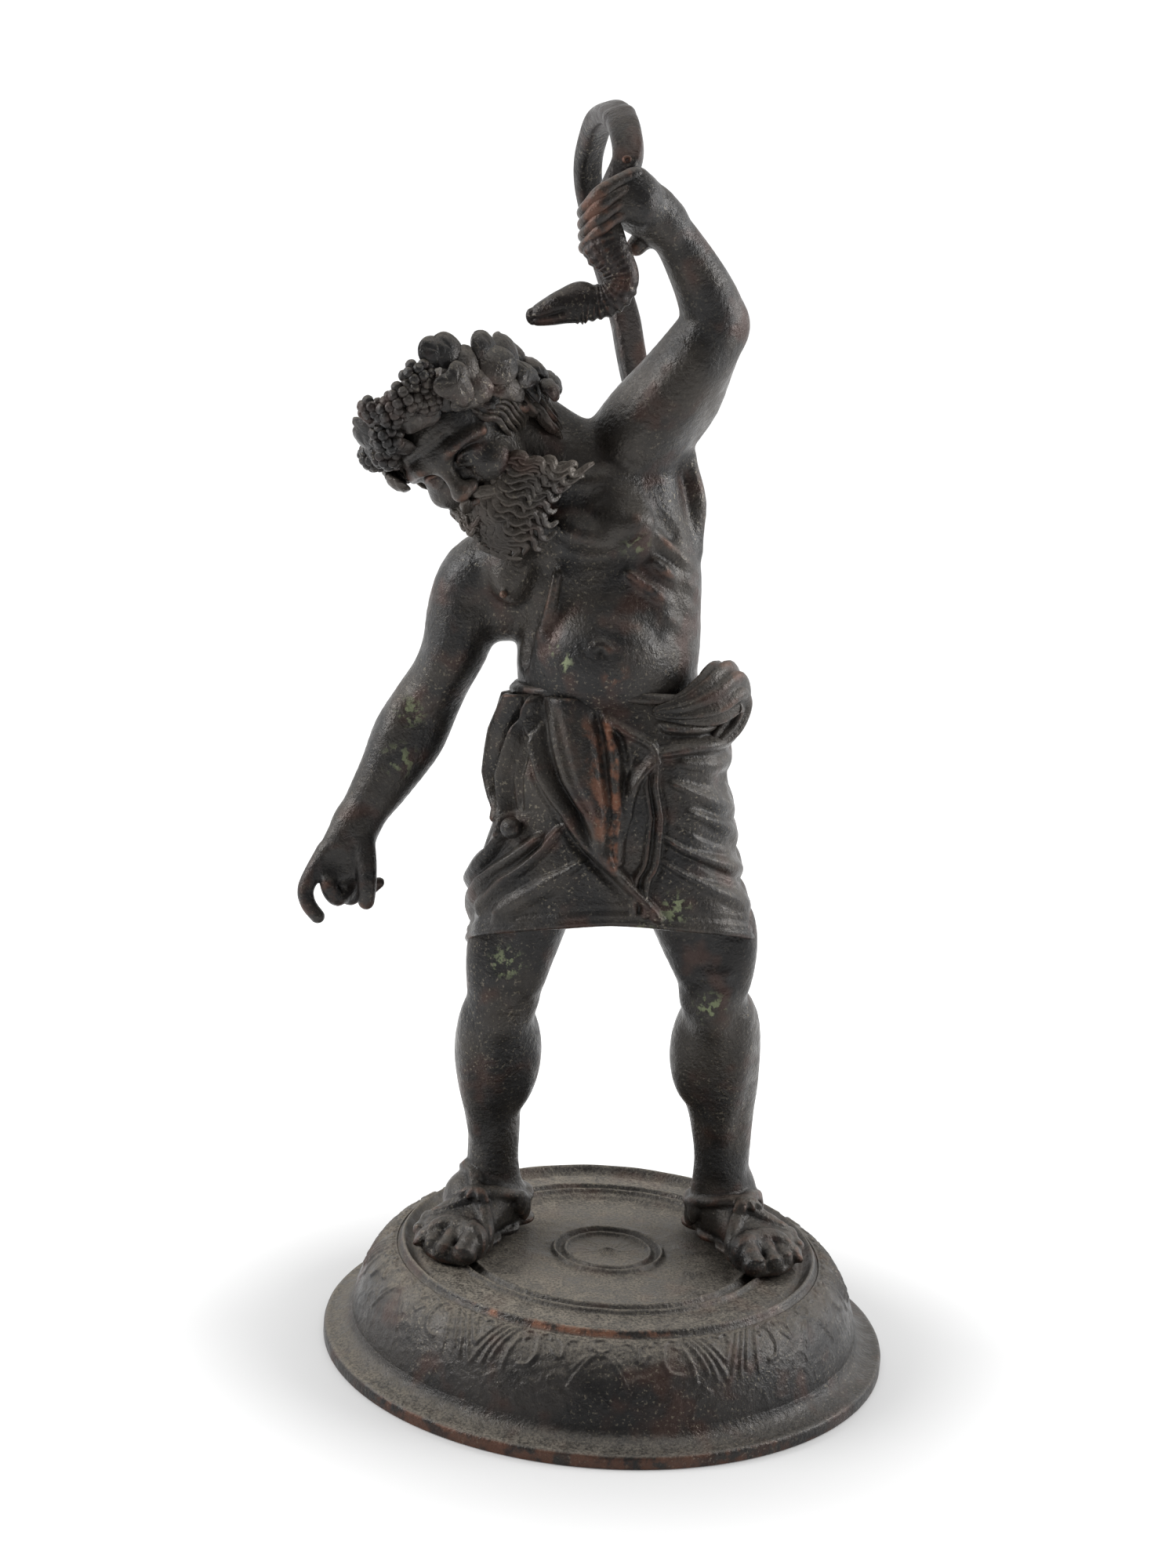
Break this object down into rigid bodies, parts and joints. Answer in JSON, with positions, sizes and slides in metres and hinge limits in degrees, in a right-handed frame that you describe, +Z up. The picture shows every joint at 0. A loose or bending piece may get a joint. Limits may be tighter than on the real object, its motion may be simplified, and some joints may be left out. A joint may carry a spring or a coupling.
{
  "type": "statuette",
  "caption": "Bronze statuette of a bearded silenus in a loincloth and ivy wreath, raising a snake in his left hand, on a round relief plinth.",
  "frame": {"origin": "on the ground, at the middle of the plinth's underside", "axes": "+Z up, the figure faces -Y, +X is to the right of someone facing it, on the side of his raised left arm"},
  "size_m": [0.2914, 0.273, 0.5885],
  "materials": {
    "plinth_bronze": "dark brown patinated bronze, satin, rubbed to copper at the edges, dusty",
    "figure_bronze": "dark brown to black patinated bronze, satin, with green verdigris spots",
    "snake_bronze": "dark brown patinated bronze, satin, dusty on top"
  },
  "bodies": {
    "root": {"plinth": "plinth_bronze", "figure": "figure_bronze", "snake": "snake_bronze"}
  },
  "joints": []
}
